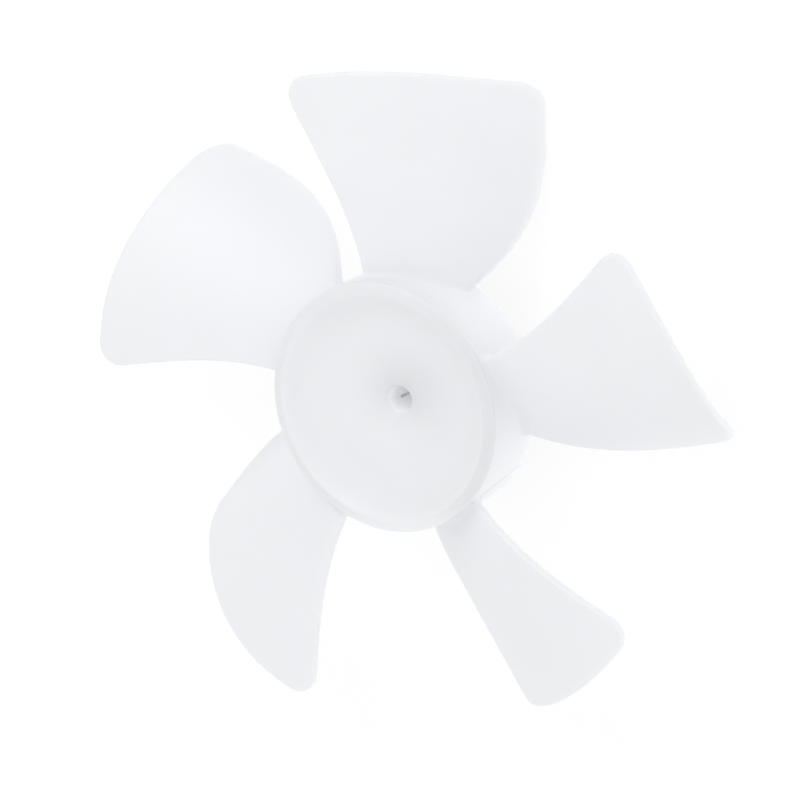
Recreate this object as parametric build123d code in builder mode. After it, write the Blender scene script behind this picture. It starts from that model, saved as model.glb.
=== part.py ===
"""Push-on axial fan blade of a refrigerator: a cup-shaped hub with curved blades, moulded in one piece.

Millimetres, +Z along the shaft axis towards the dished front face.
The origin is where the shaft enters the bore, on the hub's back plane.
"""

import os
from math import cos, radians, sin

from build123d import *

# Hub cup
hub_radius = 24.0
hub_depth = 15.8
hub_taper = 0.2
hub_wall = 1.8
rim_width = 2.1
rim_drop = 0.8
web_wall = 1.8

# Dished front face, read from the rim's crest in to the bore
dish_rim_slope = 36.0
dish_floor_radius = 13.0
dish_floor_slope = 4.0
dish_mouth_slope = 30.0

# Boss and bore
shaft_diameter = 4.76
boss_radius = 5.2
boss_top_radius = 5.6
mouth_lead = 0.5
entry_chamfer = 0.4
slit_width = 0.95
slit_length = 5.5
slit_angle = 16.0

# Blades
blade_count = 5
tip_radius = 63.2
blade_root_thickness = 2.0
blade_tip_thickness = 1.4
root_round = 1.6

# Bent sheet of a blade: a ridge along +X, falling away on a round bend to both sides
ridge_offset = 13.9
ridge_root_height = 13.7
ridge_tip_height = 14.8
bend_root_radius = 38.0
bend_tip_radius = 47.7

# Plan outline of a blade: where its edges meet the hub and the tip circle, and how far they bow
front_root_angle = 9.9
front_tip_angle = 17.1
front_bow_inner = -4.4
front_bow_outer = -1.6
front_corner = 3.8
back_root_angle = -29.9
back_tip_angle = -23.2
back_bow_inner = -9.1
back_bow_outer = -3.7
back_corner = 5.2

# Derived hub sizes
hub_back_radius = hub_radius - hub_taper
bore_radius = shaft_diameter / 2
mouth_radius = bore_radius + mouth_lead
crest_radius = hub_radius - rim_width
rim_foot = hub_depth - rim_drop
rim_sine = sin(radians(dish_rim_slope))
floor_sine = sin(radians(dish_floor_slope))
mouth_sine = sin(radians(dish_mouth_slope))
bowl_radius = (crest_radius - dish_floor_radius) / (rim_sine - floor_sine)
funnel_radius = (dish_floor_radius - mouth_radius) / (mouth_sine - floor_sine)
dish_way = (-cos(radians(dish_rim_slope)), -rim_sine)

# Derived blade sizes: the sheet runs from inside the hub to beyond the tip
root_station = 0.5 * hub_radius
tip_station = tip_radius + hub_wall
bend_start = Vector(root_station, ridge_offset, ridge_root_height - bend_root_radius)
bend_end = Vector(tip_station, ridge_offset, ridge_tip_height - bend_tip_radius)
bend_way = bend_end - bend_start
blade_reach = 2 * hub_depth
outline_root = hub_radius - hub_wall
root_embed = hub_radius - hub_wall / 2

# The hub is turned from a blank with spare length, its seam midway between two blades
spare = 4 * root_round
seam_angle = (front_root_angle + 360 / blade_count + back_root_angle) / 2
hub_plane = Plane.XZ.rotated((0, 0, seam_angle))


def polar(radius, angle):
    """Point on a plan circle."""
    return Vector(radius * cos(radians(angle)), radius * sin(radians(angle)))


def edge_curve(start, end, start_bow, end_bow):
    """Bowed edge between two plan points, each bow measured to the left of the way out."""
    way = end - start
    left = Vector(-way.Y, way.X).normalized()
    return Bezier(
        start,
        start + way / 3 + left * start_bow,
        start + way * 2 / 3 + left * end_bow,
        end,
    )


def wall_radius(height):
    """Outside radius of the hub's slightly tapered wall."""
    return hub_back_radius + hub_taper * height / rim_foot


def is_root(edge):
    """Whether an edge is the long line where a blade's front or back face meets the hub."""
    middle = edge @ 0.5
    on_wall = root_embed < Vector(middle.X, middle.Y).length < hub_radius + hub_wall / 2
    return on_wall and edge.length > 3 * blade_root_thickness


with BuildPart() as blade:
    # Sheet: a slice of a tapered tube that lies along the blade, its seam on the far side
    with Locations(Plane(bend_start, x_dir=(0, 0, -1), z_dir=bend_way)):
        Cone(
            bend_root_radius + blade_root_thickness / 2,
            bend_tip_radius + blade_tip_thickness / 2,
            bend_way.length,
            align=(Align.CENTER, Align.CENTER, Align.MIN),
        )
        Cone(
            bend_root_radius - blade_root_thickness / 2,
            bend_tip_radius - blade_tip_thickness / 2,
            bend_way.length,
            align=(Align.CENTER, Align.CENTER, Align.MIN),
            mode=Mode.SUBTRACT,
        )
    # Plan outline with rounded tip corners
    with BuildSketch(Plane.XY.offset(-blade_reach)) as plan:
        with BuildLine():
            front_root = polar(outline_root, front_root_angle)
            front_tip = polar(tip_radius, front_tip_angle)
            back_root = polar(outline_root, back_root_angle)
            back_tip = polar(tip_radius, back_tip_angle)
            edge_curve(front_root, front_tip, front_bow_inner, front_bow_outer)
            ThreePointArc(front_tip, polar(tip_radius, (front_tip_angle + back_tip_angle) / 2), back_tip)
            edge_curve(back_root, back_tip, back_bow_inner, back_bow_outer)
            Line(front_root, back_root)
        make_face()
        fillet(plan.vertices().sort_by_distance(front_tip)[0], front_corner)
        fillet(plan.vertices().sort_by_distance(back_tip)[0], back_corner)
    extrude(amount=2 * blade_reach, mode=Mode.INTERSECT)
    # Root cut to end inside the hub's wall
    Cylinder(root_embed, 2 * blade_reach, mode=Mode.SUBTRACT)

with BuildPart() as fan_blade:
    # Blank of the hub, longer than the cup at both ends, with the blades blended into its wall
    with BuildSketch(hub_plane):
        with BuildLine():
            Polyline(
                (0, -spare),
                (wall_radius(-spare), -spare),
                (wall_radius(hub_depth + spare), hub_depth + spare),
                (0, hub_depth + spare),
                close=True,
            )
        make_face()
    revolve(axis=Axis.Z)
    with PolarLocations(0, blade_count):
        add(blade.part)
    fillet(fan_blade.edges().filter_by(GeomType.BSPLINE).filter_by(is_root), root_round)
    # Front: sloping rim, dished face and funnel down to the bore
    with BuildSketch(hub_plane):
        with BuildLine():
            rim = Line((hub_radius, rim_foot), (crest_radius, hub_depth))
            bowl = JernArc(rim @ 1, dish_way, bowl_radius, dish_floor_slope - dish_rim_slope)
            funnel = JernArc(bowl @ 1, bowl % 1, funnel_radius, dish_mouth_slope - dish_floor_slope)
            mouth = Line(funnel @ 1, (bore_radius, (funnel @ 1).Y - mouth_lead))
            bore_wall = Line(mouth @ 1, (bore_radius, entry_chamfer))
            entry = Line(bore_wall @ 1, (bore_radius + entry_chamfer, 0))
            Polyline(
                entry @ 1,
                (0, 0),
                (0, hub_depth + spare),
                (hub_radius + spare, hub_depth + spare),
                (hub_radius + spare, rim_foot),
                rim @ 0,
            )
        make_face()
    revolve(axis=Axis.Z, mode=Mode.SUBTRACT)
    # Back: level end, and the hollow of the cup round the boss
    web_drop = Vector(0, -web_wall)
    Cylinder(
        hub_radius + root_round,
        spare,
        align=(Align.CENTER, Align.CENTER, Align.MAX),
        mode=Mode.SUBTRACT,
    )
    with BuildSketch(hub_plane):
        with BuildLine():
            Polyline(
                bowl @ 0 + web_drop,
                bowl @ 0.5 + web_drop,
                bowl @ 1 + web_drop,
                (boss_top_radius, (funnel @ 0.5).Y - web_wall),
                (boss_radius, 0),
                (hub_back_radius - hub_wall, 0),
                close=True,
            )
        make_face()
    revolve(axis=Axis.Z, mode=Mode.SUBTRACT)
    # Split end of the boss
    with BuildSketch(Plane.XY):
        Rectangle(slit_width, 2 * boss_top_radius + hub_wall, rotation=slit_angle)
    extrude(amount=slit_length, mode=Mode.SUBTRACT)

fan_blade.part.label = "fan_blade"
os.makedirs("parts", exist_ok=True)
export_step(fan_blade.part, "parts/fan_blade.step")
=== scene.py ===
"""Studio scene of a push-on refrigerator fan blade, moulded in one piece of milky white plastic.

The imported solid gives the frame. Sizes below are in millimetres, with +Z along the shaft axis
towards the dished front face, and every mesh is written in metres.
"""

import logging
from dataclasses import dataclass, field
from enum import Enum
from typing import NamedTuple

import bpy
import numpy as np
from mathutils import Matrix, Vector


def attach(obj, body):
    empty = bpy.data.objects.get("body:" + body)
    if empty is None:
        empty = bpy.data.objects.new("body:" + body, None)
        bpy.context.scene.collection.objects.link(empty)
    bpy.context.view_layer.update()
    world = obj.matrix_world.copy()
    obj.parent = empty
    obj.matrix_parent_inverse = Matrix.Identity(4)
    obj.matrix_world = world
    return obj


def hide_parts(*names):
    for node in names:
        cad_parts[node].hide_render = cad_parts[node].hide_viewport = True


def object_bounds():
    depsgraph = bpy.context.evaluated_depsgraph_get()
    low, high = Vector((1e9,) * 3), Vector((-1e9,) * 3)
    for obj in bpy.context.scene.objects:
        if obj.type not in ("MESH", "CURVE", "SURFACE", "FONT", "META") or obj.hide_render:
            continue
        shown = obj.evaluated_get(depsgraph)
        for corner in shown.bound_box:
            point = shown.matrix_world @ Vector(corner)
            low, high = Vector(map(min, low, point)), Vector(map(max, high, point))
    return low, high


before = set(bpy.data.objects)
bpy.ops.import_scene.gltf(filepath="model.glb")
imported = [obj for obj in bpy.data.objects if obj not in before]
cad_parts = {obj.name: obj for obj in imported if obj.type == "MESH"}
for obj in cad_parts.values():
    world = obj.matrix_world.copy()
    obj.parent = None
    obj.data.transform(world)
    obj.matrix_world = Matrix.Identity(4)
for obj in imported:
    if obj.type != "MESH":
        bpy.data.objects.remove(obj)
CAD_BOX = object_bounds()

Socket = bpy.types.NodeSocket

LOG = logging.getLogger("fan_blade")
MM = 0.001
NODE = "fan_blade"
BODY = "root"
# Name of the point attribute that carries painted light and shade: above 0 paints shade, below 0 paints
# light.
PAINTED_LIGHT = "painted_light"
PAINTED_LIGHT_LIMIT = 2.0
SAME_POINT = 1e-6
TINY = 1e-9


class Side(Enum):
    """The two long edges of a blade, with the turn from the way out to the blade's inside."""

    FRONT = -1.0
    BACK = 1.0


class Join(Enum):
    """What a tool does to a piece, as the name of the boolean operation."""

    ADD = "UNION"
    CUT = "DIFFERENCE"


class Shell(NamedTuple):
    """A closed surface: its points in millimetres and its faces as rows of four point numbers."""

    points: np.ndarray
    quads: np.ndarray


def ease(value: np.ndarray, low: float, high: float) -> np.ndarray:
    """Smooth step from 0 at the low value to 1 at the high one, either way round."""
    share = np.clip((value - low) / (high - low), 0.0, 1.0)
    return share * share * (3.0 - 2.0 * share)


def polar(radius: np.ndarray | float, angle: np.ndarray | float) -> np.ndarray:
    """Plan points at a radius and an angle in degrees.

    Args:
        radius: distance from the shaft axis.
        angle: degrees from +X.

    Returns:
        Array whose last axis holds x and y.
    """
    turn = np.radians(angle)
    return np.stack(np.broadcast_arrays(radius * np.cos(turn), radius * np.sin(turn)), axis=-1)


def left_normals(points: np.ndarray) -> np.ndarray:
    """Unit normals to the left of a line of plan points."""
    way = np.gradient(points, axis=0)
    return np.stack([-way[:, 1], way[:, 0]], axis=-1) / np.linalg.norm(way, axis=1, keepdims=True)


def grid_quads(rows: int, columns: int, wrap_rows: bool = False, wrap_columns: bool = False) -> np.ndarray:
    """Faces of a grid of points numbered row by row.

    Args:
        rows: points along the first parameter.
        columns: points along the second parameter.
        wrap_rows: joins the last row to the first.
        wrap_columns: joins the last column to the first.

    Returns:
        One row of four point numbers per face.
    """
    row, column = np.meshgrid(
        np.arange(rows if wrap_rows else rows - 1),
        np.arange(columns if wrap_columns else columns - 1),
        indexing="ij",
    )
    below, beside = (row + 1) % rows, (column + 1) % columns
    corners = (
        row * columns + column,
        below * columns + column,
        below * columns + beside,
        row * columns + beside,
    )
    return np.stack(corners, axis=-1).reshape(-1, 4)


def capped(points: np.ndarray, wrap: bool = False) -> Shell:
    """Shell of a grid of points whose first and last rows are closed by pairing their ends.

    Args:
        points: rows of points, each row running clockwise as seen from the last row.
        wrap: joins the last column to the first.

    Returns:
        The shell, not yet welded.
    """
    rows, columns = points.shape[:2]
    body = grid_quads(rows, columns, wrap_columns=wrap)[:, ::-1]
    half = np.arange((columns + 1) // 2)
    pairs = np.stack([half, columns - 1 - half], axis=-1)
    cap = np.concatenate([pairs[:-1], pairs[1:, ::-1]], axis=1)
    quads = np.concatenate([body, cap, cap[:, ::-1] + (rows - 1) * columns])
    return Shell(points.reshape(-1, 3), quads)


def merge(shells: list[Shell]) -> Shell:
    """Puts several shells into one list of points and faces."""
    starts = np.cumsum([0] + [len(shell.points) for shell in shells[:-1]])
    return Shell(
        np.concatenate([shell.points for shell in shells]),
        np.concatenate([shell.quads + start for shell, start in zip(shells, starts)]),
    )


def weld(shell: Shell, grain: float = 1e-4) -> Shell:
    """Joins points that fall on the same spot, to the given grain in millimetres."""
    spots = np.round(shell.points / grain).astype(np.int64)
    _, first, number = np.unique(spots, axis=0, return_index=True, return_inverse=True)
    return Shell(shell.points[first], number.reshape(-1)[shell.quads])


def mesh_object(name: str, shell: Shell) -> bpy.types.Object:
    """Writes a shell into a new mesh object at the origin.

    A face that has lost a corner to welding is written as a triangle.

    Args:
        name: name of the object and its mesh.
        shell: points in millimetres and faces.

    Returns:
        The new object, linked to the scene.
    """
    lost = shell.quads == np.roll(shell.quads, -1, axis=1)
    whole = ~lost.any(axis=1)
    keep = (lost[~whole].argmax(axis=1)[:, None] + np.array([1, 2, 3])) % 4
    triangles = np.take_along_axis(shell.quads[~whole], keep, axis=1)
    mesh = bpy.data.meshes.new(name)
    mesh.from_pydata((shell.points * MM).tolist(), [], shell.quads[whole].tolist() + triangles.tolist())
    mesh.validate()
    piece = bpy.data.objects.new(name, mesh)
    bpy.context.scene.collection.objects.link(piece)
    return piece


def combine(piece: bpy.types.Object, tool: bpy.types.Object, join: Join) -> None:
    """Joins a tool to a piece, or cuts it out, and removes the tool.

    Args:
        piece: closed mesh that is changed.
        tool: closed mesh that is used up.
        join: what the tool does.
    """
    change = piece.modifiers.new(join.name.lower(), "BOOLEAN")
    change.operation = join.value
    change.object = tool
    change.solver = "EXACT"
    made = bpy.data.meshes.new_from_object(piece.evaluated_get(bpy.context.evaluated_depsgraph_get()))
    piece.modifiers.clear()
    made.name = piece.data.name
    piece.data = made
    bpy.data.objects.remove(tool)


def shade(piece: bpy.types.Object, sharp: float) -> None:
    """Smooths the shading, and keeps edges crisp that bend more than the given degrees."""
    piece.data.polygons.foreach_set("use_smooth", np.ones(len(piece.data.polygons), dtype=bool))
    piece.data.set_sharp_from_angle(angle=float(np.radians(sharp)))


def rounded(corners: np.ndarray, setbacks: np.ndarray, steps: int = 5, limit: float = 0.48) -> np.ndarray:
    """Closed outline with each corner replaced by a quadratic round.

    A corner C with neighbours A and B gives the curve from C + a to C + b with C as its control
    point, where a and b point to A and B and are as long as the corner's setback.

    Args:
        corners: outline corners, one row each.
        setbacks: setback of each corner; zero keeps the corner.
        steps: points on each round.
        limit: largest setback, as a share of the shorter run beside the corner.

    Returns:
        The points of the rounded outline.
    """
    before, after = np.roll(corners, 1, axis=0) - corners, np.roll(corners, -1, axis=0) - corners
    before_length = np.linalg.norm(before, axis=1, keepdims=True)
    after_length = np.linalg.norm(after, axis=1, keepdims=True)
    setback = np.minimum(setbacks[:, None], limit * np.minimum(before_length, after_length))
    start = corners + before / before_length * setback
    end = corners + after / after_length * setback
    share = np.linspace(0.0, 1.0, steps)[None, :, None]
    curve = (
        (1 - share) ** 2 * start[:, None]
        + 2 * share * (1 - share) * corners[:, None]
        + share**2 * end[:, None]
    )
    flat = curve.reshape(-1, 2)
    return flat[np.linalg.norm(flat - np.roll(flat, 1, axis=0), axis=1) > SAME_POINT]


def divided(outline: np.ndarray, longest: float) -> np.ndarray:
    """Closed outline with points added evenly on its long straight runs.

    Args:
        outline: points of the outline.
        longest: length that no run may pass.

    Returns:
        The points with the added ones.
    """
    way = np.roll(outline, -1, axis=0) - outline
    parts = np.maximum(np.ceil(np.linalg.norm(way, axis=1) / longest).astype(int), 1)
    owner = np.repeat(np.arange(len(outline)), parts)
    step = np.arange(parts.sum()) - np.repeat(np.cumsum(parts) - parts, parts)
    return outline[owner] + way[owner] * (step / parts[owner])[:, None]


@dataclass
class NodeKit:
    """The nodes of one material or world, with short ways to add and join them."""

    tree: bpy.types.NodeTree

    def add(self, kind: str, operation: str | None = None) -> bpy.types.Node:
        """Adds a shader node of a kind, and sets its operation where one is given."""
        node = self.tree.nodes.new(f"ShaderNode{kind}")
        if operation:
            node.operation = operation
        return node

    def link(self, source: Socket, target: Socket) -> None:
        """Joins an output to an input."""
        self.tree.links.new(source, target)

    def noise(self, place: Socket, size: float, layers: float) -> Socket:
        """Adds a noise with features of about the given size in millimetres, in finer layers."""
        noise = self.add("TexNoise")
        noise.inputs["Scale"].default_value = 1.0 / (size * MM)
        noise.inputs["Detail"].default_value = layers
        self.link(place, noise.inputs["Vector"])
        return noise.outputs["Fac"]

    def scaled(self, source: Socket, given: tuple[float, float], wanted: tuple[float, float]) -> Socket:
        """Maps a value from one range to another and clamps it there.

        Args:
            source: socket with the value.
            given: range of the value.
            wanted: range of the result.

        Returns:
            Socket with the result.
        """
        ramp = self.add("MapRange")
        ramp.inputs["From Min"].default_value, ramp.inputs["From Max"].default_value = given
        ramp.inputs["To Min"].default_value, ramp.inputs["To Max"].default_value = wanted
        self.link(source, ramp.inputs["Value"])
        return ramp.outputs["Result"]

    def joined(self, operation: str, values: list[Socket]) -> Socket:
        """Brings several values together by one math operation.

        Args:
            operation: name of the operation.
            values: sockets with the values.

        Returns:
            Socket with the result.
        """
        result = values[0]
        for value in values[1:]:
            step = self.add("Math", operation)
            self.link(result, step.inputs[0])
            self.link(value, step.inputs[1])
            result = step.outputs["Value"]
        return result

    def mixed(self, share: Socket, first: Socket, second: Socket) -> Socket:
        """Mixes two shaders, with the second one's share from 0 to 1."""
        mix = self.add("MixShader")
        for source, target in zip((share, first, second), mix.inputs):
            self.link(source, target)
        return mix.outputs["Shader"]

    def viewing_rays(self) -> list[Socket]:
        """Sockets that are 1 on rays that show a thing straight, by reflection or through glass."""
        path = self.add("LightPath")
        return [path.outputs[ray] for ray in ("Is Camera Ray", "Is Glossy Ray", "Is Transmission Ray")]


@dataclass(frozen=True)
class MouldedPlastic:
    """Milky white moulded polypropylene: a satin skin that lets a little light through.

    Painted light and shade from the piece's attribute make thin walls lighter and thick places greyer,
    and fine moulding grain, faint clouding and a few specks break up the surface.
    """

    colour: tuple[float, float, float] = (0.830, 0.843, 0.866)
    # How far the painted light and shade move the colour, per unit of the piece's painted-light value.
    painted_light_strength: float = 0.075
    # Painted glow in the bore: its strength where the painted light is strongest, and the value at which it
    # has faded out.
    painted_bore_glow: float = 0.14
    painted_glow_from: float = -1.0
    roughness: float = 0.42
    roughness_spread: float = 0.06
    refraction: float = 1.49
    scatter_share: float = 0.5
    scatter_depth: float = 2.5
    scatter_tint: tuple[float, float, float] = (1.0, 0.98, 0.95)
    grain_size: float = 0.4
    grain_depth: float = 0.012
    grain_layers: float = 2.0
    grain_strength: float = 0.4
    cloud_size: float = 14.0
    cloud_layers: float = 3.0
    cloud_range: tuple[float, float] = (0.3, 0.7)
    cloud_shade: float = 0.015
    speck_spacing: float = 5.0
    speck_size: float = 0.16
    speck_core: float = 0.4
    speck_shade: float = 0.07

    def material(self) -> bpy.types.Material:
        """Builds the node material.

        Returns:
            The finished material.
        """
        material = bpy.data.materials.new("milky_polypropylene")
        material.use_nodes = True
        kit = NodeKit(material.node_tree)
        shader = kit.tree.nodes["Principled BSDF"]
        shader.inputs["Subsurface Weight"].default_value = self.scatter_share
        shader.inputs["Subsurface Radius"].default_value = self.scatter_tint
        shader.inputs["Subsurface Scale"].default_value = self.scatter_depth * MM
        shader.inputs["IOR"].default_value = self.refraction
        shader.inputs["Emission Color"].default_value = (*self.colour, 1.0)
        place = kit.add("TexCoord").outputs["Object"]
        cloud = kit.noise(place, self.cloud_size, self.cloud_layers)
        # Painted light and shade, read from the piece's attribute: it greys or lightens the colour and
        # drives the bore's painted glow.
        attribute = kit.add("Attribute")
        attribute.attribute_name = PAINTED_LIGHT
        painted_light = attribute.outputs["Fac"]

        tint = kit.add("VectorMath", "SCALE")
        tint.inputs[0].default_value = self.colour
        kit.link(self.tone(kit, place, cloud, painted_light), tint.inputs["Scale"])
        kit.link(tint.outputs["Vector"], shader.inputs["Base Color"])
        # Painted glow: the bore's wall gives off a little light in the plastic's own colour.
        glow = kit.scaled(painted_light, (-PAINTED_LIGHT_LIMIT, self.painted_glow_from), (self.painted_bore_glow, 0.0))
        kit.link(glow, shader.inputs["Emission Strength"])
        low, high = self.roughness - self.roughness_spread, self.roughness + self.roughness_spread
        kit.link(kit.scaled(cloud, (0.0, 1.0), (low, high)), shader.inputs["Roughness"])

        bump = kit.add("Bump")
        bump.inputs["Strength"].default_value = self.grain_strength
        bump.inputs["Distance"].default_value = self.grain_depth * MM
        kit.link(kit.noise(place, self.grain_size, self.grain_layers), bump.inputs["Height"])
        kit.link(bump.outputs["Normal"], shader.inputs["Normal"])
        return material

    def tone(self, kit: NodeKit, place: Socket, cloud: Socket, painted_light: Socket) -> Socket:
        """Share of the colour that shows: the product of clouding, painted light and shade, and specks.

        Args:
            kit: nodes of the material.
            place: coordinates of the piece.
            cloud: the clouding's noise.
            painted_light: the piece's painted light and shade.

        Returns:
            Socket with the share.
        """
        clouding = kit.scaled(cloud, self.cloud_range, (1.0 - self.cloud_shade, 1.0))
        # Painted light and shade: the colour turns greyer or lighter with the piece's painted-light value.
        swing = PAINTED_LIGHT_LIMIT * self.painted_light_strength
        depth = kit.scaled(painted_light, (-PAINTED_LIGHT_LIMIT, PAINTED_LIGHT_LIMIT), (1.0 + swing, 1.0 - swing))
        specks = kit.add("TexVoronoi")
        specks.inputs["Scale"].default_value = 1.0 / (self.speck_spacing * MM)
        kit.link(place, specks.inputs["Vector"])
        reach = self.speck_size / self.speck_spacing
        edge = (self.speck_core * reach, reach)
        spot = kit.scaled(specks.outputs["Distance"], edge, (1.0 - self.speck_shade, 1.0))
        return kit.joined("MULTIPLY", [clouding, depth, spot])


@dataclass
class HubCup:
    """The cup-shaped hub: tapered wall, sloping rim, dished face, and a split boss round the bore."""

    radius: float = 24.0
    back_radius: float = 23.8
    depth: float = 15.8
    wall: float = 1.8
    rim_width: float = 2.1
    rim_drop: float = 0.8
    web: float = 1.8
    rim_slope: float = 36.0
    floor_radius: float = 13.0
    floor_slope: float = 4.0
    mouth_slope: float = 30.0
    bore_radius: float = 2.38
    boss_radius: float = 5.2
    boss_top_radius: float = 5.6
    mouth_lead: float = 0.5
    entry_lead: float = 0.4
    slit_width: float = 0.95
    slit_length: float = 5.5
    slit_angle: float = 16.0
    slit_spare: float = 1.0
    turns: int = 240
    dish_points: int = 22
    face_length: float = 1.1

    @property
    def crest(self) -> float:
        """Radius of the rim's crest."""
        return self.radius - self.rim_width

    @property
    def rim_foot(self) -> float:
        """Height of the rim's outer edge."""
        return self.depth - self.rim_drop

    def wall_radius(self, height: np.ndarray) -> np.ndarray:
        """Outside radius of the tapered wall at a height."""
        return self.back_radius + (self.radius - self.back_radius) * height / self.rim_foot

    def dish(self) -> tuple[np.ndarray, np.ndarray]:
        """Points of the dished face by its slope.

        On a round of radius k the point at slope a lies at r0 + k (sin a - sin a0) and
        z0 + k (cos a0 - cos a), with a0 the slope of the dish's floor. The bowl runs from the floor
        out to the rim, and the funnel turns the other way from the floor in to the mouth.

        Returns:
            The bowl's points and the funnel's points, both starting at the floor.
        """
        share = np.linspace(0.0, 1.0, self.dish_points)
        floor, rim, mouth = np.radians([self.floor_slope, self.rim_slope, self.mouth_slope])
        bowl_round = (self.crest - self.floor_radius) / (np.sin(rim) - np.sin(floor))
        funnel_span = self.floor_radius - self.bore_radius - self.mouth_lead
        funnel_round = funnel_span / (np.sin(mouth) - np.sin(floor))
        height = self.depth - bowl_round * (np.cos(floor) - np.cos(rim))
        up, down = floor + (rim - floor) * share, floor + (mouth - floor) * share
        bowl = np.stack(
            [
                self.floor_radius + bowl_round * (np.sin(up) - np.sin(floor)),
                height + bowl_round * (np.cos(floor) - np.cos(up)),
            ],
            axis=-1,
        )
        funnel = np.stack(
            [
                self.floor_radius - funnel_round * (np.sin(down) - np.sin(floor)),
                height - funnel_round * (np.cos(floor) - np.cos(down)),
            ],
            axis=-1,
        )
        return bowl, funnel

    def profile(self) -> np.ndarray:
        """Closed outline of the turned section, with its corners eased.

        Returns:
            Rows of radius and height, running up the outer wall, in over the dish and down the bore.
        """
        bowl, funnel = self.dish()
        middle = (self.dish_points - 1) // 2
        # Points of the section, each with the setback of its round
        parts = [
            ([(self.back_radius, 0.0)], 0.5),
            ([(self.radius, self.rim_foot)], 0.35),
            ([(self.crest, self.depth)], 0.4),
            (bowl[-3:0:-1], 0.0),
            (funnel[:-1], 0.0),
            ([funnel[-1]], 0.35),
            ([(self.bore_radius, funnel[-1, 1] - self.mouth_lead)], 0.35),
            ([(self.bore_radius, self.entry_lead)], 0.15),
            ([(self.bore_radius + self.entry_lead, 0.0)], 0.15),
            ([(self.boss_radius, 0.0)], 0.5),
            ([(self.boss_top_radius, funnel[middle, 1] - self.web)], 1.0),
            ([bowl[0] - (0.0, self.web)], 3.0),
            ([bowl[middle] - (0.0, self.web)], 2.0),
            ([(self.crest, self.depth - self.web)], 0.8),
            ([(self.back_radius - self.wall, 0.0)], 0.4),
        ]
        corners = np.concatenate([np.atleast_2d(np.array(points, float)) for points, _ in parts])
        setbacks = np.concatenate([np.full(len(points), setback) for points, setback in parts])
        return divided(rounded(corners, setbacks), self.face_length)

    def shell(self) -> Shell:
        """Turns the section once about the shaft axis.

        Returns:
            A closed ring of faces.
        """
        section = self.profile()
        turn = np.linspace(0.0, 360.0, self.turns, endpoint=False)
        plan = polar(section[None, :, 0], turn[:, None])
        height = np.broadcast_to(section[None, :, 1:], (*plan.shape[:2], 1))
        points = np.concatenate([plan, height], axis=-1).reshape(-1, 3)
        return Shell(points, grid_quads(self.turns, len(section), wrap_rows=True, wrap_columns=True))

    def slit(self) -> Shell:
        """Block that splits the end of the boss: a box that runs across the axis.

        Returns:
            A closed box.
        """
        half = np.array([self.slit_width / 2, self.boss_top_radius + self.wall / 2])
        signs = np.array([(-1, -1), (1, -1), (1, 1), (-1, 1)]) * half
        turn = np.radians(self.slit_angle)
        plan = signs @ np.array([(np.cos(turn), np.sin(turn)), (-np.sin(turn), np.cos(turn))])
        levels = np.repeat([-self.slit_spare, self.slit_length], len(plan))[:, None]
        points = np.concatenate([np.tile(plan, (2, 1)), levels], axis=1)
        sides = grid_quads(2, len(plan), wrap_columns=True)[:, ::-1]
        ends = np.array([(3, 2, 1, 0), (4, 5, 6, 7)])
        return Shell(points, np.concatenate([sides, ends]))


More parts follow.
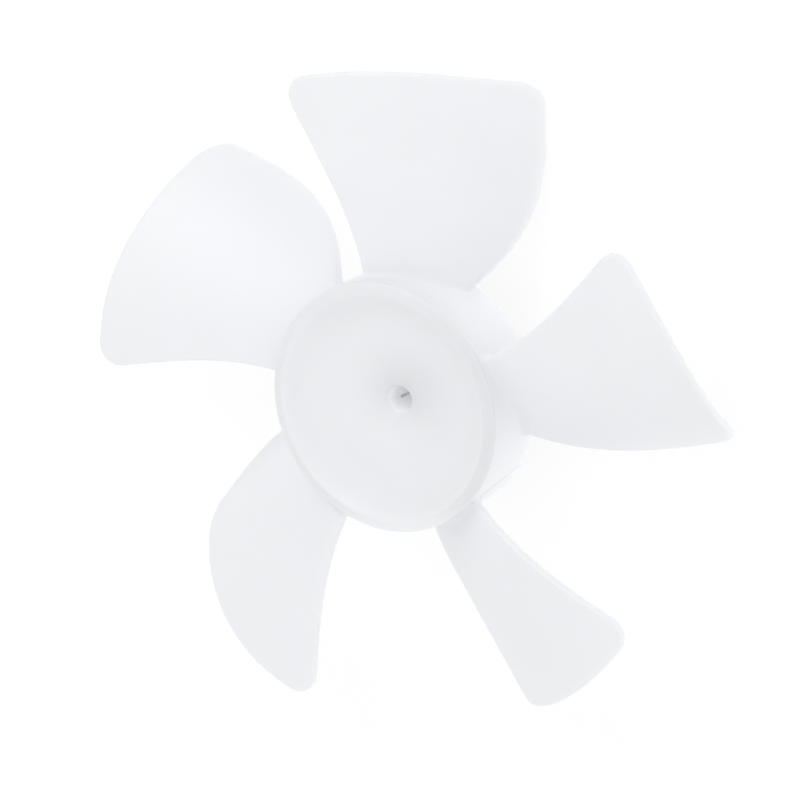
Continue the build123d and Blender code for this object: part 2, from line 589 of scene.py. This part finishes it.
@dataclass
class CurvedBlade:
    """One blade: a slice of a tapered tube, cut to a bowed plan outline with rounded tip corners.

    The inset's two reaches are in root rounds from the hub's wall.
    """

    hub: HubCup
    tip_radius: float = 63.2
    root_thickness: float = 2.0
    tip_thickness: float = 1.4
    root_round: float = 1.6
    edge_round: float = 0.75
    edge_fullness: float = 0.75
    ridge_offset: float = 13.9
    ridge_root_height: float = 13.7
    ridge_tip_height: float = 14.8
    bend_root_radius: float = 38.0
    bend_tip_radius: float = 47.7
    root_angle: dict[Side, float] = field(default_factory=lambda: {Side.FRONT: 9.9, Side.BACK: -29.9})
    tip_angle: dict[Side, float] = field(default_factory=lambda: {Side.FRONT: 17.1, Side.BACK: -23.2})
    inner_bow: dict[Side, float] = field(default_factory=lambda: {Side.FRONT: -4.4, Side.BACK: -9.1})
    outer_bow: dict[Side, float] = field(default_factory=lambda: {Side.FRONT: -1.6, Side.BACK: -3.7})
    corner: dict[Side, float] = field(default_factory=lambda: {Side.FRONT: 3.8, Side.BACK: 5.2})
    inset_reach: tuple[float, float] = (2.0, 5.0)
    sink: tuple[float, float] = (1.1, 0.5)
    foot_gap: float = 0.05
    foot_spare: float = 0.15
    fan_radius: float = 46.0
    foot_rows: int = 9
    span_rows: int = 22
    tip_rows: int = 96
    face_columns: int = 14
    edge_columns: int = 11
    search_points: int = 800
    edge_points: int = 600
    corner_points: int = 120
    tip_points: int = 700

    def height(self, plan: np.ndarray, level: np.ndarray | float) -> np.ndarray:
        """Height of the bent sheet over plan points.

        The sheet lies between two cones about the bend axis. A point at s along the axis is at
        distance a + b s from it, which makes its height the upper root of a quadratic.

        Args:
            plan: x and y of the points.
            level: -1 on the back face, 1 on the front face, 0 midway.

        Returns:
            Heights of the points.
        """
        start_x, end_x = 0.5 * self.hub.radius, self.tip_radius + self.hub.wall
        start_z = self.ridge_root_height - self.bend_root_radius
        end_z = self.ridge_tip_height - self.bend_tip_radius
        length = np.hypot(end_x - start_x, end_z - start_z)
        way_x, way_z = (end_x - start_x) / length, (end_z - start_z) / length
        base = self.bend_root_radius + level * self.root_thickness / 2
        rise = (self.bend_tip_radius + level * self.tip_thickness / 2 - base) / length
        x, y = plan[..., 0] - start_x, plan[..., 1] - self.ridge_offset
        along = x * way_x
        reach = base + rise * along
        square = 1 - way_z**2 * (1 + rise**2)
        linear = -2 * way_z * (along + reach * rise)
        constant = x**2 + y**2 - along**2 - reach**2
        return start_z + (np.sqrt(linear**2 - 4 * square * constant) - linear) / (2 * square)

    def edge(self, side: Side, share: np.ndarray) -> np.ndarray:
        """Bowed edge from the root out to the tip circle.

        A cubic whose middle control points lie a third and two thirds of the way along the chord,
        each moved square to the chord by its bow.

        Args:
            side: which edge.
            share: 0 at the root to 1 at the tip circle.

        Returns:
            Plan points of the edge.
        """
        start = polar(self.hub.radius - self.hub.wall, self.root_angle[side])
        end = polar(self.tip_radius, self.tip_angle[side])
        way = end - start
        left = np.array([-way[1], way[0]]) / np.linalg.norm(way)
        first = start + way / 3 + left * self.inner_bow[side]
        second = start + way * 2 / 3 + left * self.outer_bow[side]
        done = share[:, None]
        rest = 1 - done
        return rest**3 * start + 3 * done * rest**2 * first + 3 * done**2 * rest * second + done**3 * end

    def edge_with_corner(self, side: Side) -> tuple[np.ndarray, float]:
        """Edge and the round that joins it to the tip circle.

        The round's centre lies inside the edge by its radius and inside the tip circle by the same.

        Args:
            side: which edge.

        Returns:
            Plan points from the root to the tip circle, and the angle where they reach it.
        """
        share = np.linspace(0.0, 1.0, self.search_points)
        points = self.edge(side, share)
        size = self.corner[side]
        centres = points + size * side.value * left_normals(points)
        stop = float(np.interp(self.tip_radius - size, np.linalg.norm(centres, axis=1), share))
        straight = self.edge(side, np.linspace(0.0, stop, self.edge_points))
        centre = np.array([np.interp(stop, share, centres[:, 0]), np.interp(stop, share, centres[:, 1])])
        first = straight[-1] - centre
        begin, finish = np.arctan2(first[1], first[0]), np.arctan2(centre[1], centre[0])
        swing = (finish - begin + np.pi) % (2 * np.pi) - np.pi
        turn = begin + swing * np.linspace(0.0, 1.0, self.corner_points)[1:]
        arc = centre + polar(size, np.degrees(turn))
        return np.concatenate([straight, arc]), float(np.degrees(finish))

    def outline(self) -> tuple[np.ndarray, np.ndarray]:
        """Plan outline from the back root round the tip to the front root, with its inward normals.

        Returns:
            Points of the outline and unit normals that point into the blade.
        """
        back, back_angle = self.edge_with_corner(Side.BACK)
        front, front_angle = self.edge_with_corner(Side.FRONT)
        tip = polar(self.tip_radius, np.linspace(back_angle, front_angle, self.tip_points)[1:-1])
        points = np.concatenate([back, tip, front[::-1]])
        return points, left_normals(points)

    def stations(self) -> np.ndarray:
        """Radii of the cross lines from inside the hub's wall, close together over the root round.

        Returns:
            The radii from the hub out.
        """
        sink = self.hub.radius - np.array(self.sink)
        curl = np.sin(np.linspace(0.0, np.pi / 2, self.foot_rows))
        reach = self.root_round + self.foot_spare
        foot = self.hub.back_radius + self.foot_gap + reach * (1 - curl[::-1])
        span = np.linspace(foot[-1], self.fan_radius, self.span_rows)[1:]
        return np.concatenate([sink, foot, span])

    def rows(self, radii: np.ndarray) -> tuple[np.ndarray, np.ndarray]:
        """Where the rows of the blade's grid meet its edge, and the way in from there.

        Args:
            radii: radii of the cross lines from the hub out.

        Returns:
            Plan points from the back root round the tip to the front root, and the way in at each.
        """
        outline, inward = self.outline()
        number = np.arange(len(outline), dtype=float)
        reach = np.linalg.norm(outline, axis=1)
        far = np.flatnonzero(reach > radii[-1])
        back = np.interp(radii, reach[: far[0] + 1], number[: far[0] + 1])
        front = np.interp(radii, reach[far[-1] :][::-1], number[far[-1] :][::-1])
        travel = np.concatenate([[0.0], np.cumsum(np.linalg.norm(np.diff(outline, axis=0), axis=1))])
        ends = np.interp([back[-1], front[-1]], number, travel)
        tip = np.interp(np.linspace(ends[0], ends[1], self.tip_rows + 2)[1:-1], travel, number)
        row = np.concatenate([back, tip, front[::-1]])
        edge = np.stack([np.interp(row, number, outline[:, axis]) for axis in (0, 1)], axis=-1)
        normal = np.stack([np.interp(row, number, inward[:, axis]) for axis in (0, 1)], axis=-1)
        return edge, self.inset(edge, normal / np.linalg.norm(normal, axis=1, keepdims=True))

    def shell(self) -> Shell:
        """Blade as one closed grid.

        Rows follow the outline. Columns run from the front face's middle line out to the edge, round
        it, and back along the back face. Near the root each row keeps one radius, so that the foot
        can flare onto the hub's wall. Past the fan radius the rows meet in one point of the middle
        line. The edge is a superellipse: a power of the cosine in depth and of the sine in level.

        Returns:
            A closed shell.
        """
        radii = self.stations()
        count = len(radii)
        edge, inset = self.rows(radii)
        rim = edge + self.edge_round * inset
        rim_radius, rim_angle = np.linalg.norm(rim, axis=1), np.arctan2(rim[:, 1], rim[:, 0])
        middle = (rim_angle[:count] + rim_angle[::-1][:count]) / 2
        spine_radius = np.concatenate([radii, np.full(self.tip_rows, radii[-1]), radii[::-1]])
        spine_angle = np.concatenate([middle, np.full(self.tip_rows, middle[-1]), middle[::-1]])
        share = np.linspace(0.0, 1.0, self.face_columns)[None, :]
        face = polar(
            spine_radius[:, None] * (1 - share) + rim_radius[:, None] * share,
            np.degrees(spine_angle[:, None] * (1 - share) + rim_angle[:, None] * share),
        )
        bend = np.radians(np.linspace(90.0, -90.0, self.edge_columns))[1:-1]
        depth = self.edge_round * (1 - np.abs(np.cos(bend)) ** self.edge_fullness)
        level = np.sign(np.sin(bend)) * np.abs(np.sin(bend)) ** self.edge_fullness
        turn = edge[:, None] + depth[None, :, None] * inset[:, None]
        plan = np.concatenate([face, turn, face[:, ::-1]], axis=1)
        levels = np.concatenate([np.ones(share.size), level, -np.ones(share.size)])
        front_height, back_height = self.height(plan, 1.0), self.height(plan, -1.0)
        height = (front_height + back_height) / 2 + levels * (front_height - back_height) / 2
        points = np.concatenate([plan, height[..., None]], axis=-1)
        points += self.foot(points, count)
        return weld(capped(points))

    def inset(self, edge: np.ndarray, normal: np.ndarray) -> np.ndarray:
        """Way in from the edge that goes one millimetre square to it.

        It follows the circle round the shaft near the root, and eases to the edge's own normal.

        Args:
            edge: plan points of the edge.
            normal: unit normals that point into the blade.

        Returns:
            Way in at each point.
        """
        radius = np.linalg.norm(edge, axis=1, keepdims=True)
        circle = np.stack([-edge[:, 1], edge[:, 0]], axis=-1) / radius
        circle *= np.sign((circle * normal).sum(axis=1, keepdims=True))
        start, end = self.hub.radius + self.root_round * np.array(self.inset_reach)
        way = circle + (normal - circle) * ease(radius, start, end)
        return way / (way * normal).sum(axis=1, keepdims=True)

    def foot(self, points: np.ndarray, count: int) -> np.ndarray:
        """Shift that flares the root onto the hub's wall.

        At distance d from the wall, inside the root round k, the section grows square to itself by
        k - sqrt(k^2 - (k - d)^2), so that the flare ends flat on the wall.

        Args:
            points: the blade's grid before the flare.
            count: rows on each edge that keep one radius.

        Returns:
            Shift of each point.
        """
        size = self.root_round
        radius = np.linalg.norm(points[..., :2], axis=-1)
        gap = np.clip(radius - self.hub.wall_radius(points[..., 2]), 0.0, size)
        grow = size - np.sqrt(np.maximum(size**2 - (size - gap) ** 2, 0.0))
        level = np.zeros((*radius.shape, 1))
        outward = np.concatenate([points[..., :2] / radius[..., None], level], axis=-1)
        along = np.gradient(points, axis=1)
        sign = np.concatenate([np.ones(count + self.tip_rows), -np.ones(count)])[:, None, None]
        square = np.cross(along, outward) * sign
        # The middle line's two sides share one way
        square[:count, [0, -1]] += square[::-1][:count, [0, -1]]
        square[::-1][:count, [0, -1]] = square[:count, [0, -1]]
        square /= np.maximum(np.linalg.norm(square, axis=-1, keepdims=True), TINY)
        return grow[..., None] * square


@dataclass
class PartingLine:
    """Fine raised line on the hub's wall where the mould's halves meet, beside one blade's front edge."""

    hub: HubCup
    start_angle: float = 225.0
    end_angle: float = 236.5
    start_height: float = 12.8
    end_height: float = 0.5
    bow: float = 1.6
    width: float = 0.26
    rise: float = 0.1
    sink: float = 0.3
    rows: int = 40
    sides: int = 12

    def angle(self, height: np.ndarray) -> np.ndarray:
        """Angle of the line at a height: straight from start to end, with a bow of sin(pi share)."""
        share = np.clip((self.start_height - height) / (self.start_height - self.end_height), 0.0, 1.0)
        swing = self.end_angle - self.start_angle
        return self.start_angle + swing * share + self.bow * np.sin(np.pi * share)

    def shell(self) -> Shell:
        """Low half-round bead carried along the line on the wall.

        The section is a half ellipse that stands on the wall, with its foot sunk into it.

        Returns:
            A closed bead.
        """
        height = np.linspace(self.start_height, self.end_height, self.rows)
        angle = self.angle(height)
        around = np.radians(np.linspace(0.0, 360.0, self.sides, endpoint=False))
        lift = np.where(np.sin(around) > 0, self.rise, self.sink) * np.sin(around)
        slope = np.gradient(height) / (np.gradient(np.radians(angle)) * self.hub.radius)
        lean = 1.0 / np.hypot(1.0, slope)
        side = np.cos(around) * self.width / 2
        turn = angle[:, None] + np.degrees(side[None, :] * (-slope * lean)[:, None] / self.hub.radius)
        level = height[:, None] + side[None, :] * lean[:, None]
        plan = polar(self.hub.wall_radius(level) + lift, turn)
        return capped(np.concatenate([plan, level[..., None]], axis=-1), wrap=True)


@dataclass
class PaintedLightAndShade:
    """Painted light and shade on the milky plastic, for light seen through its skin and shade from behind
    it.

    The value is above 0 where shade is painted, on thick places, in the hollow and round the boss,
    0 on the blades, and below 0 where light is painted, on thin walls and in the bore. Each share
    below is such a value, and each way is a direction in plan. Points are in millimetres, and
    radius is their distance from the shaft axis.
    """

    hub: HubCup
    blade: CurvedBlade
    line: PartingLine
    count: int
    near_way: tuple[float, float] = (0.51, -0.86)
    boss_shift: float = 6.0
    boss_reach: tuple[float, float] = (6.5, 5.5)
    face_height: float = 6.32
    rim_painted_light: tuple[float, float, float] = (0.55, 0.65, -1.15)
    rim_shade_way: tuple[float, float] = (0.104, -0.995)
    rim_lit_way: tuple[float, float] = (-0.995, -0.104)
    rim_lit_reach: float = 0.7
    rim_margin: float = 0.2
    bore_depth: tuple[float, float] = (3.0, 7.5)
    bore_painted_light: tuple[float, float] = (-1.5, -2.0)
    bore_edge: tuple[float, float] = (0.1, 0.3)
    bore_foot: float = 0.1
    hollow_margin: tuple[float, float] = (0.1, 1.62)
    wall_margin: float = 0.36
    wall_height: tuple[float, float, float] = (1.0, 11.06, 15.0)
    wall_painted_light: tuple[float, float, float] = (-1.0, -0.3, 0.5)
    line_margin: float = 0.01
    line_reach: float = 1.0
    line_painted_shade: float = 2.0
    root_reach: tuple[float, float] = (6.0, 0.5)
    root_painted_shade: float = 0.1

    def painted_light(self, points: np.ndarray) -> np.ndarray:
        """Painted light and shade at each point, as the sum of what each feature adds.

        Args:
            points: points in millimetres.

        Returns:
            Painted light and shade of each point.
        """
        radius = np.linalg.norm(points[:, :2], axis=1)
        face = self.boss(points, radius) + self.rim(points, radius) + self.bore(points, radius)
        cup = self.hollow(points, radius) + self.wall(points, radius)
        return np.clip(face + cup + self.root(points, radius), -PAINTED_LIGHT_LIMIT, PAINTED_LIGHT_LIMIT)

    def boss(self, points: np.ndarray, radius: np.ndarray) -> np.ndarray:
        """Painted shade of the boss: a soft grey oval on the web, shifted to the near side.

        It is exp(-(a^2 + b^2) / 2) of the distances a and b along and across the near way.

        Args:
            points: points in millimetres.
            radius: distance of each point from the shaft axis.

        Returns:
            Painted shade of each point.
        """
        near = np.array(self.near_way)
        along = (points[:, :2] @ near - self.boss_shift) / self.boss_reach[0]
        across = (points[:, :2] @ np.array([-near[1], near[0]])) / self.boss_reach[1]
        face = (radius < self.hub.crest) * (points[:, 2] > self.face_height)
        return np.exp(-(along**2 + across**2) / 2) * face

    def rim(self, points: np.ndarray, radius: np.ndarray) -> np.ndarray:
        """Painted shade all round the sloping rim, more to one side, and painted light to the other."""
        plan = points[:, :2] / self.hub.radius
        grey = ease(plan @ np.array(self.rim_shade_way), 0.0, 1.0)
        light = ease(plan @ np.array(self.rim_lit_way), self.rim_lit_reach, 1.0)
        land = (radius > self.hub.crest) * (points[:, 2] > self.hub.rim_foot - self.rim_margin)
        return land * (np.stack([np.ones_like(grey), grey, light], axis=-1) @ np.array(self.rim_painted_light))

    def bore(self, points: np.ndarray, radius: np.ndarray) -> np.ndarray:
        """Painted light on the bore's wall, most of all near the mouth, with a soft edge on the far side.
        """
        size, height = self.hub.bore_radius, points[:, 2]
        far = ease(points[:, :2] @ np.array(self.near_way), size / 2, -size / 2)
        deep, mouth = self.bore_painted_light
        share = deep + (mouth - deep) * ease(height, *self.bore_depth)
        edge = size + self.bore_edge[0] + self.bore_edge[1] * far
        return share * ease(radius, edge, size) * (height > self.bore_foot)

    def hollow(self, points: np.ndarray, radius: np.ndarray) -> np.ndarray:
        """Painted shade in the hollow behind the web: the most, up to midway through the web."""
        bowl, funnel = self.hub.dish()
        line = np.concatenate([funnel[::-1], bowl[1:]])
        top = np.interp(radius, line[:, 0], line[:, 1]) - self.hub.web / 2
        inner, outer = self.hollow_margin
        inside = (radius > self.hub.boss_radius - inner) * (radius < self.hub.back_radius - outer)
        return PAINTED_LIGHT_LIMIT * inside * (points[:, 2] < top)

    def wall(self, points: np.ndarray, radius: np.ndarray) -> np.ndarray:
        """Painted shade by the rim, painted light to the open end, painted shade on the parting line."""
        hub, line, height = self.hub, self.line, points[:, 2]
        across = (radius > hub.radius - hub.wall) & (radius < hub.radius + self.wall_margin)
        share = np.interp(height, self.wall_height, self.wall_painted_light)
        angle = np.degrees(np.arctan2(points[:, 1], points[:, 0])) % 360.0
        beside = np.abs(angle - line.angle(height)) < self.line_reach
        raised = beside & (radius > hub.wall_radius(height) + self.line_margin)
        return across * (height < hub.rim_foot) * (share + self.line_painted_shade * raised)

    def root(self, points: np.ndarray, radius: np.ndarray) -> np.ndarray:
        """Painted shade round the blade roots: a smooth step of the distance from where they meet the wall.
        """
        hub, angle = self.hub, self.folded(points)
        held = np.clip(angle, self.blade.root_angle[Side.BACK], self.blade.root_angle[Side.FRONT])
        sheet = self.blade.height(polar(np.maximum(radius, hub.radius), held), 0.0)
        gap = np.radians(angle - held) * hub.radius
        distance = np.sqrt((radius - hub.radius) ** 2 + (points[:, 2] - sheet) ** 2 + gap**2)
        return self.root_painted_shade * ease(distance, *self.root_reach) * (radius > hub.radius - hub.wall)

    def folded(self, points: np.ndarray) -> np.ndarray:
        """Angle of the points in degrees, folded into the sector of the first blade."""
        step = 360.0 / self.count
        start = (self.blade.root_angle[Side.BACK] + self.blade.root_angle[Side.FRONT] - step) / 2
        return (np.degrees(np.arctan2(points[:, 1], points[:, 0])) - start) % step + start


@dataclass
class FanBlade:
    """The whole moulding: the hub with its ring of blades."""

    hub: HubCup = field(default_factory=HubCup)
    count: int = 5
    sharp_angle: float = 38.0

    def ring(self, one: Shell) -> Shell:
        """Copies of a shell set round the shaft at equal angles."""
        turn = np.arange(self.count) * 2 * np.pi / self.count
        cosine, sine = np.cos(turn), np.sin(turn)
        zero, unit = np.zeros_like(turn), np.ones_like(turn)
        spin = np.array([[cosine, -sine, zero], [sine, cosine, zero], [zero, zero, unit]])
        placed = np.einsum("abk,nb->kna", spin, one.points)
        return merge([Shell(points, one.quads) for points in placed])

    def build(self, finish: MouldedPlastic) -> bpy.types.Object:
        """Builds the moulding, dresses it and lets it stand for the solid.

        Args:
            finish: what it is made of.

        Returns:
            The piece.
        """
        blade, line = CurvedBlade(self.hub), PartingLine(self.hub)
        piece = mesh_object("moulded_fan", self.hub.shell())
        combine(piece, mesh_object("blade_ring", self.ring(blade.shell())), Join.ADD)
        combine(piece, mesh_object("parting_line", line.shell()), Join.ADD)
        combine(piece, mesh_object("boss_slit", self.hub.slit()), Join.CUT)
        shade(piece, self.sharp_angle)
        # Painted light and shade, worked out at each point and stored for the material.
        spots = np.empty(len(piece.data.vertices) * 3, dtype=np.float32)
        piece.data.vertices.foreach_get("co", spots)
        painted_light = PaintedLightAndShade(self.hub, blade, line, self.count).painted_light(spots.reshape(-1, 3) / MM)
        layer = piece.data.attributes.new(PAINTED_LIGHT, "FLOAT", "POINT")
        layer.data.foreach_set("value", painted_light.astype(np.float32))
        piece.data.materials.append(finish.material())
        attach(piece, BODY)
        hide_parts(NODE)
        LOG.info("%s: %d faces", piece.name, len(piece.data.polygons))
        return piece


@dataclass
class Studio:
    """Pale floor, soft light and the camera.

    The world's lean and the key's way are in camera axes: right, up and back. The floor, the key's
    size and distance, and the clip range are in metres.
    """

    turn: float = 151.488
    lean: float = 36.58
    roll: float = 27.327
    distance: float = 1632.7
    aim: tuple[float, float, float] = (0.0, 0.0, 15.8)
    shift: tuple[float, float] = (3.453, 1.622)
    lens: float = 399.2
    sensor: float = 36.0
    clip_range: tuple[float, float] = (0.01, 20.0)
    floor_half: float = 3.0
    floor_colour: tuple[float, float, float, float] = (0.9, 0.9, 0.9, 1.0)
    floor_roughness: float = 0.9
    floor_white: float = 0.8
    floor_glow: float = 1.05
    shade_radius: tuple[float, float] = (11.0, 16.5)
    world_level: float = 0.945
    world_lean: tuple[float, float, float] = (0.2, -0.12, -0.12)
    key_way: tuple[float, float, float] = (-0.515, 0.497, 0.69)
    key_watts: float = 1.85
    key_size: float = 0.5
    key_distance: float = 0.9

    def axes(self) -> np.ndarray:
        """Camera axes in the part's frame: right, up and back.

        The view leans away from the shaft axis by one angle, rolls by another, and the part is
        turned about its axis by a third.

        Returns:
            Rows of right, up and back.
        """
        turn, lean, roll = np.radians([-self.turn, self.lean, self.roll])
        right = np.array([np.sin(roll), np.cos(lean) * np.cos(roll), -np.sin(lean) * np.cos(roll)])
        up = np.array([-np.cos(roll), np.cos(lean) * np.sin(roll), -np.sin(lean) * np.sin(roll)])
        back = np.array([0.0, np.sin(lean), np.cos(lean)])
        spin = np.array([[np.cos(turn), -np.sin(turn), 0], [np.sin(turn), np.cos(turn), 0], [0, 0, 1]])
        return np.array([right, up, back]) @ spin.T

    def camera(self) -> None:
        """Makes the camera at the viewing angle of the photograph."""
        right, up, back = self.axes()
        place = np.array(self.aim) + right * self.shift[0] + up * self.shift[1] + back * self.distance
        data = bpy.data.cameras.new("camera")
        data.sensor_width, data.lens = self.sensor, self.lens
        data.clip_start, data.clip_end = self.clip_range
        camera = bpy.data.objects.new("camera", data)
        pose = np.eye(4)
        pose[:3, :3], pose[:3, 3] = np.stack([right, up, back], axis=-1), place * MM
        camera.matrix_world = Matrix(pose.tolist())
        bpy.context.scene.collection.objects.link(camera)
        bpy.context.scene.camera = camera

    def floor(self, level: float) -> None:
        """Lays the pale floor under the part.

        Args:
            level: height of the floor in metres.
        """
        half = self.floor_half
        mesh = bpy.data.meshes.new("floor")
        corners = [(-half, -half, level), (half, -half, level), (half, half, level), (-half, half, level)]
        mesh.from_pydata(corners, [], [(0, 1, 2, 3)])
        floor = bpy.data.objects.new("floor", mesh)
        bpy.context.scene.collection.objects.link(floor)
        mesh.materials.append(self.floor_material())

    def floor_material(self) -> bpy.types.Material:
        """Builds the floor's material, a lit sheet that is white to the camera.

        It keeps a faint shadow of the blades and the full shade under the hub, and lets light through
        from below.

        Returns:
            The finished material.
        """
        material = bpy.data.materials.new("floor_white")
        material.use_nodes = True
        kit = NodeKit(material.node_tree)
        shader = kit.tree.nodes["Principled BSDF"]
        shader.inputs["Base Color"].default_value = self.floor_colour
        shader.inputs["Roughness"].default_value = self.floor_roughness
        glow = kit.add("Emission")
        glow.inputs["Strength"].default_value = self.floor_glow
        flat = kit.add("VectorMath", "MULTIPLY")
        flat.inputs[1].default_value = (1.0, 1.0, 0.0)
        kit.link(kit.add("TexCoord").outputs["Object"], flat.inputs[0])
        reach = kit.add("VectorMath", "LENGTH")
        kit.link(flat.outputs["Vector"], reach.inputs[0])
        inner, outer = self.shade_radius[0] * MM, self.shade_radius[1] * MM
        lit = kit.scaled(reach.outputs["Value"], (inner, outer), (0.0, self.floor_white))
        sheet = kit.mixed(lit, shader.outputs["BSDF"], glow.outputs["Emission"])
        solid = kit.add("Math", "LESS_THAN")
        solid.inputs[1].default_value = outer
        kit.link(reach.outputs["Value"], solid.inputs[0])
        shown = kit.joined("MAXIMUM", [solid.outputs["Value"], *kit.viewing_rays()])
        surface = kit.mixed(shown, kit.add("BsdfTransparent").outputs["BSDF"], sheet)
        kit.link(surface, kit.tree.nodes["Material Output"].inputs["Surface"])
        return material

    def world(self) -> None:
        """Lights the part from all round, with a little more light from the right, below and behind.

        The level in direction d is w (1 + g d), with g the lean, and it is white to the camera.
        """
        world = bpy.data.worlds.new("studio")
        bpy.context.scene.world = world
        world.use_nodes = True
        kit = NodeKit(world.node_tree)
        backdrop = kit.tree.nodes["Background"]
        backdrop.inputs["Color"].default_value = (1.0, 1.0, 1.0, 1.0)
        lean = kit.add("VectorMath", "DOT_PRODUCT")
        lean.inputs[1].default_value = (self.world_level * np.array(self.world_lean) @ self.axes()).tolist()
        kit.link(kit.add("TexCoord").outputs["Generated"], lean.inputs[0])
        level = kit.add("Math", "ADD")
        level.inputs[1].default_value = self.world_level
        kit.link(lean.outputs["Value"], level.inputs[0])
        mix = kit.add("Mix")
        mix.inputs["B"].default_value = 1.0
        kit.link(kit.joined("MAXIMUM", kit.viewing_rays()), mix.inputs["Factor"])
        kit.link(level.outputs["Value"], mix.inputs["A"])
        kit.link(mix.outputs["Result"], backdrop.inputs["Strength"])

    def key(self) -> None:
        """Softbox at the upper left of the picture, whose sheen lies on the faces turned to it."""
        way = np.array(self.key_way) @ self.axes()
        way /= np.linalg.norm(way)
        data = bpy.data.lights.new("key", "AREA")
        data.energy, data.size = self.key_watts, self.key_size
        lamp = bpy.data.objects.new("key", data)
        lamp.location = Vector(way.tolist()) * self.key_distance
        lamp.rotation_mode = "QUATERNION"
        lamp.rotation_quaternion = Vector((-way).tolist()).to_track_quat("-Z", "Y")
        bpy.context.scene.collection.objects.link(lamp)

    def build(self, level: float) -> None:
        """Sets up the studio round the part, with the floor at a level in metres."""
        bpy.context.scene.view_settings.view_transform = "Standard"
        self.floor(level)
        self.world()
        self.key()
        self.camera()


def main() -> None:
    """Builds the part and the studio."""
    logging.basicConfig(level=logging.INFO, format="%(name)s: %(message)s")
    FanBlade().build(MouldedPlastic())
    Studio().build(CAD_BOX[0].z)


if __name__ == "__main__":
    main()
